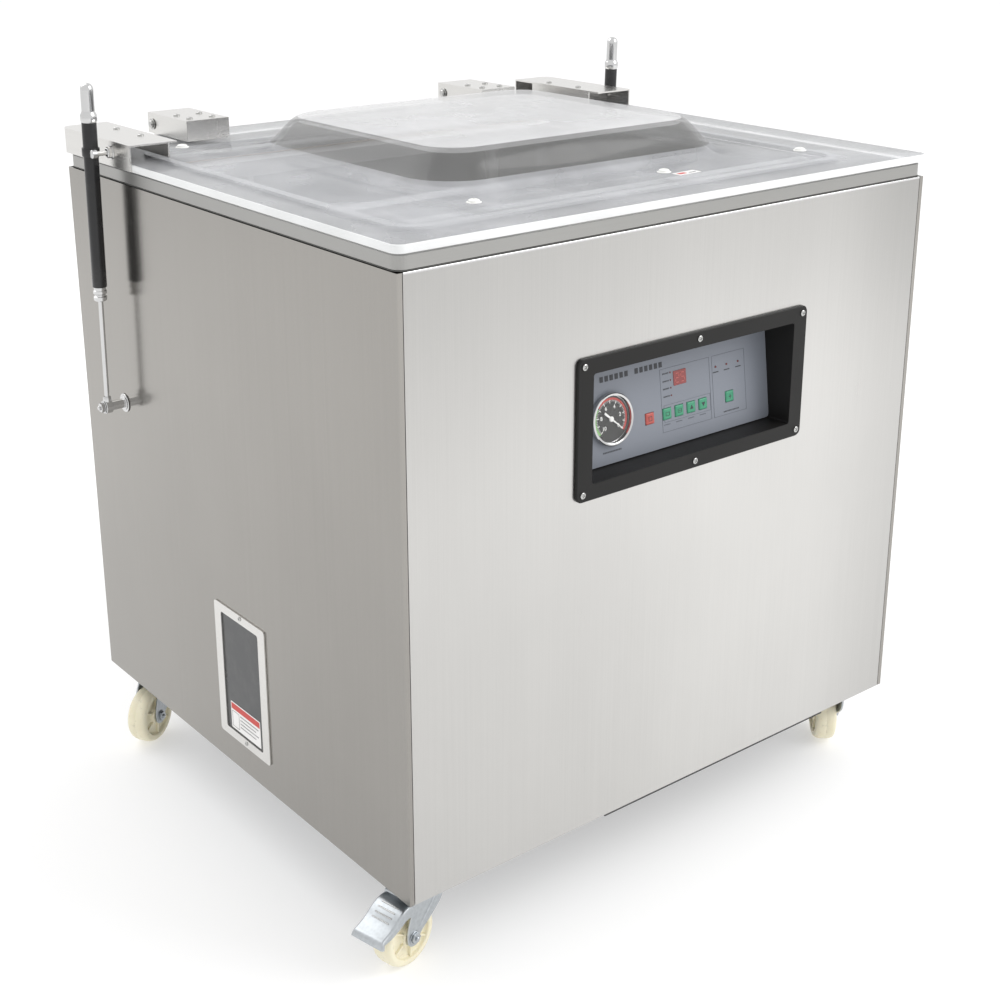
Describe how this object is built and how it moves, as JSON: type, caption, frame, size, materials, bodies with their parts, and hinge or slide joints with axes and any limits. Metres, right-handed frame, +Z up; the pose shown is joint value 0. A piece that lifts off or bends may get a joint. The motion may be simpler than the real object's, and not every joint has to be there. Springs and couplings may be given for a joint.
{
  "type": "chamber vacuum sealer",
  "caption": "Floor-standing steel chamber vacuum sealer on casters, with a clear domed lid on rear hinges and side struts, a recessed control panel and a pump window.",
  "frame": {"origin": "on the floor, in the middle of the whole machine's footprint", "axes": "+Z up, +X to the machine's right as seen from its front, -Y towards the person at the front, +Y towards the hinges"},
  "size_m": [0.8516, 0.739, 0.9078],
  "materials": {
    "brushed_steel": "brushed stainless sheet",
    "satin_steel": "satin stainless",
    "frame_paint": "dark grey paint",
    "tray_black": "black powder coat",
    "clear_acrylic": "clear formed acrylic with polished edges",
    "silicone": "soft white silicone",
    "aluminium": "milled aluminium",
    "chrome": "bright chrome plate",
    "black_paint": "satin black",
    "black_plastic": "moulded black plastic",
    "face_grey": "grey-blue printed overlay",
    "key_red": "red key",
    "key_green": "green key",
    "needle_white": "white needle",
    "gauge_glass": "clear lens",
    "smoked_pane": "smoked acrylic",
    "zinc_steel": "zinc-plated pressed steel",
    "cream_nylon": "cream nylon",
    "cast_iron": "painted casting",
    "motor_paint": "motor paint",
    "hose_rubber": "black hose",
    "brass": "brass",
    "board_green": "circuit board"
  },
  "bodies": {
    "cabinet": {"side_panel_left": "brushed_steel", "side_panel_right": "brushed_steel", "front_panel": "brushed_steel", "rear_panel": "brushed_steel", "chamber_deck": "satin_steel", "chamber_tub": "satin_steel", "window_frame": "satin_steel", "hinge_base_left": "satin_steel", "strut_anchor_left": "chrome", "hinge_base_right": "satin_steel", "strut_anchor_right": "chrome", "chassis_frame": "frame_paint", "base_tray": "tray_black", "control_bezel": "black_plastic", "cable_gland": "black_plastic", "control_face": "face_grey", "gauge_case": "chrome", "gauge_lens": "gauge_glass", "window_pane": "smoked_pane", "caster_plate_front_left": "zinc_steel", "caster_plate_front_right": "zinc_steel", "caster_plate_rear_left": "zinc_steel", "caster_plate_rear_right": "zinc_steel", "vacuum_pump": "cast_iron", "pump_motor": "motor_paint", "suction_hose": "hose_rubber", "air_valve": "brass", "control_board": "board_green", "seal_transformer": "zinc_steel"},
    "lid": {"lid": "clear_acrylic", "lid_gasket": "silicone", "counter_bar_front": "silicone", "counter_bar_rear": "silicone", "hinge_arm_left": "satin_steel", "hinge_arm_right": "satin_steel", "strut_bracket_left": "satin_steel", "strut_bracket_right": "satin_steel"},
    "strut_rod_left": {"strut_rod_left": "chrome"},
    "strut_tube_left": {"strut_tube_left": "black_paint"},
    "strut_rod_right": {"strut_rod_right": "chrome"},
    "strut_tube_right": {"strut_tube_right": "black_paint"},
    "seal_bar_front": {"seal_bar_front": "aluminium"},
    "seal_bar_rear": {"seal_bar_rear": "aluminium"},
    "key_stop": {"key_stop": "key_red"},
    "key_1": {"key_1": "key_green"},
    "key_2": {"key_2": "key_green"},
    "key_3": {"key_3": "key_green"},
    "key_4": {"key_4": "key_green"},
    "key_mode": {"key_mode": "key_green"},
    "gauge_needle": {"gauge_needle": "needle_white"},
    "caster_swivel_front_left": {"caster_fork_front_left": "zinc_steel"},
    "caster_wheel_front_left": {"caster_wheel_front_left": "cream_nylon"},
    "brake_pedal_front_left": {"brake_pedal_front_left": "zinc_steel"},
    "caster_swivel_front_right": {"caster_fork_front_right": "zinc_steel"},
    "caster_wheel_front_right": {"caster_wheel_front_right": "cream_nylon"},
    "brake_pedal_front_right": {"brake_pedal_front_right": "zinc_steel"},
    "caster_swivel_rear_left": {"caster_fork_rear_left": "zinc_steel"},
    "caster_wheel_rear_left": {"caster_wheel_rear_left": "cream_nylon"},
    "caster_swivel_rear_right": {"caster_fork_rear_right": "zinc_steel"},
    "caster_wheel_rear_right": {"caster_wheel_rear_right": "cream_nylon"}
  },
  "joints": [
    {"name": "lid_hinge", "type": "hinge", "parent": "cabinet", "child": "lid", "pos_m": [0, 0.3565, 0.8295], "axis": [-1, 0, 0], "range_deg": [0, 50]},
    {"name": "strut_swing_left", "type": "hinge", "parent": "cabinet", "child": "strut_rod_left", "pos_m": [-0.414, 0.2345, 0.507], "axis": [-1, 0, 0], "range_deg": [0, 7.41]},
    {"name": "strut_extend_left", "type": "slide", "parent": "strut_rod_left", "child": "strut_tube_left", "axis": [0, -0.0359, 0.9994], "range_m": [0, 0.1152]},
    {"name": "strut_swing_right", "type": "hinge", "parent": "cabinet", "child": "strut_rod_right", "pos_m": [0.414, 0.2345, 0.507], "axis": [-1, 0, 0], "range_deg": [0, 7.41]},
    {"name": "strut_extend_right", "type": "slide", "parent": "strut_rod_right", "child": "strut_tube_right", "axis": [0, -0.0359, 0.9994], "range_m": [0, 0.1152]},
    {"name": "seal_lift_front", "type": "slide", "parent": "cabinet", "child": "seal_bar_front", "axis": [0, 0, 1], "range_m": [0, 0.008]},
    {"name": "seal_lift_rear", "type": "slide", "parent": "cabinet", "child": "seal_bar_rear", "axis": [0, 0, 1], "range_m": [0, 0.008]},
    {"name": "key_stop_press", "type": "slide", "parent": "cabinet", "child": "key_stop", "axis": [0, 0.9914, -0.1305], "range_m": [0, 0.001], "stiffness_N_per_m": 300},
    {"name": "key_1_press", "type": "slide", "parent": "cabinet", "child": "key_1", "axis": [0, 0.9914, -0.1305], "range_m": [0, 0.001], "stiffness_N_per_m": 300},
    {"name": "key_2_press", "type": "slide", "parent": "cabinet", "child": "key_2", "axis": [0, 0.9914, -0.1305], "range_m": [0, 0.001], "stiffness_N_per_m": 300},
    {"name": "key_3_press", "type": "slide", "parent": "cabinet", "child": "key_3", "axis": [0, 0.9914, -0.1305], "range_m": [0, 0.001], "stiffness_N_per_m": 300},
    {"name": "key_4_press", "type": "slide", "parent": "cabinet", "child": "key_4", "axis": [0, 0.9914, -0.1305], "range_m": [0, 0.001], "stiffness_N_per_m": 300},
    {"name": "key_mode_press", "type": "slide", "parent": "cabinet", "child": "key_mode", "axis": [0, 0.9914, -0.1305], "range_m": [0, 0.001], "stiffness_N_per_m": 300},
    {"name": "gauge_needle_turn", "type": "hinge", "parent": "cabinet", "child": "gauge_needle", "pos_m": [-0.086, -0.33194, 0.57309], "axis": [0, -0.9914, 0.1305], "range_deg": [0, 264], "stiffness_Nm_per_rad": 0.0005},
    {"name": "swivel_front_left", "type": "hinge", "parent": "cabinet", "child": "caster_swivel_front_left", "pos_m": [-0.342, -0.3175, 0.0877], "axis": [0, 0, 1], "continuous": true},
    {"name": "roll_front_left", "type": "hinge", "parent": "caster_swivel_front_left", "child": "caster_wheel_front_left", "pos_m": [-0.37134, -0.32374, 0.0375], "axis": [0.2079, -0.9781, 0], "continuous": true},
    {"name": "brake_front_left", "type": "hinge", "parent": "caster_swivel_front_left", "child": "brake_pedal_front_left", "pos_m": [-0.3733, -0.32415, 0.0822], "axis": [0.2079, -0.9781, 0], "range_deg": [0, 14]},
    {"name": "swivel_front_right", "type": "hinge", "parent": "cabinet", "child": "caster_swivel_front_right", "pos_m": [0.342, -0.3175, 0.0877], "axis": [0, 0, 1], "continuous": true},
    {"name": "roll_front_right", "type": "hinge", "parent": "caster_swivel_front_right", "child": "caster_wheel_front_right", "pos_m": [0.36128, -0.29452, 0.0375], "axis": [-0.766, 0.6428, 0], "continuous": true},
    {"name": "brake_front_right", "type": "hinge", "parent": "caster_swivel_front_right", "child": "brake_pedal_front_right", "pos_m": [0.36257, -0.29299, 0.0822], "axis": [-0.766, 0.6428, 0], "range_deg": [0, 14]},
    {"name": "swivel_rear_left", "type": "hinge", "parent": "cabinet", "child": "caster_swivel_rear_left", "pos_m": [-0.342, 0.2965, 0.0877], "axis": [0, 0, 1], "continuous": true},
    {"name": "roll_rear_left", "type": "hinge", "parent": "caster_swivel_rear_left", "child": "caster_wheel_rear_left", "pos_m": [-0.36798, 0.2815, 0.0375], "axis": [0.5, -0.866, 0], "continuous": true},
    {"name": "swivel_rear_right", "type": "hinge", "parent": "cabinet", "child": "caster_swivel_rear_right", "pos_m": [0.342, 0.2965, 0.0877], "axis": [0, 0, 1], "continuous": true},
    {"name": "roll_rear_right", "type": "hinge", "parent": "caster_swivel_rear_right", "child": "caster_wheel_rear_right", "pos_m": [0.32479, 0.27192, 0.0375], "axis": [0.8192, -0.5736, 0], "continuous": true}
  ],
  "couplings": [
    {"joint": "strut_swing_left", "follows": "lid_hinge", "ratio": 0.14424},
    {"joint": "strut_extend_left", "follows": "lid_hinge", "m_per_rad": 0.13083},
    {"joint": "strut_swing_right", "follows": "lid_hinge", "ratio": 0.14424},
    {"joint": "strut_extend_right", "follows": "lid_hinge", "m_per_rad": 0.13083},
    {"joint": "seal_lift_rear", "follows": "seal_lift_front", "ratio": 1}
  ]
}
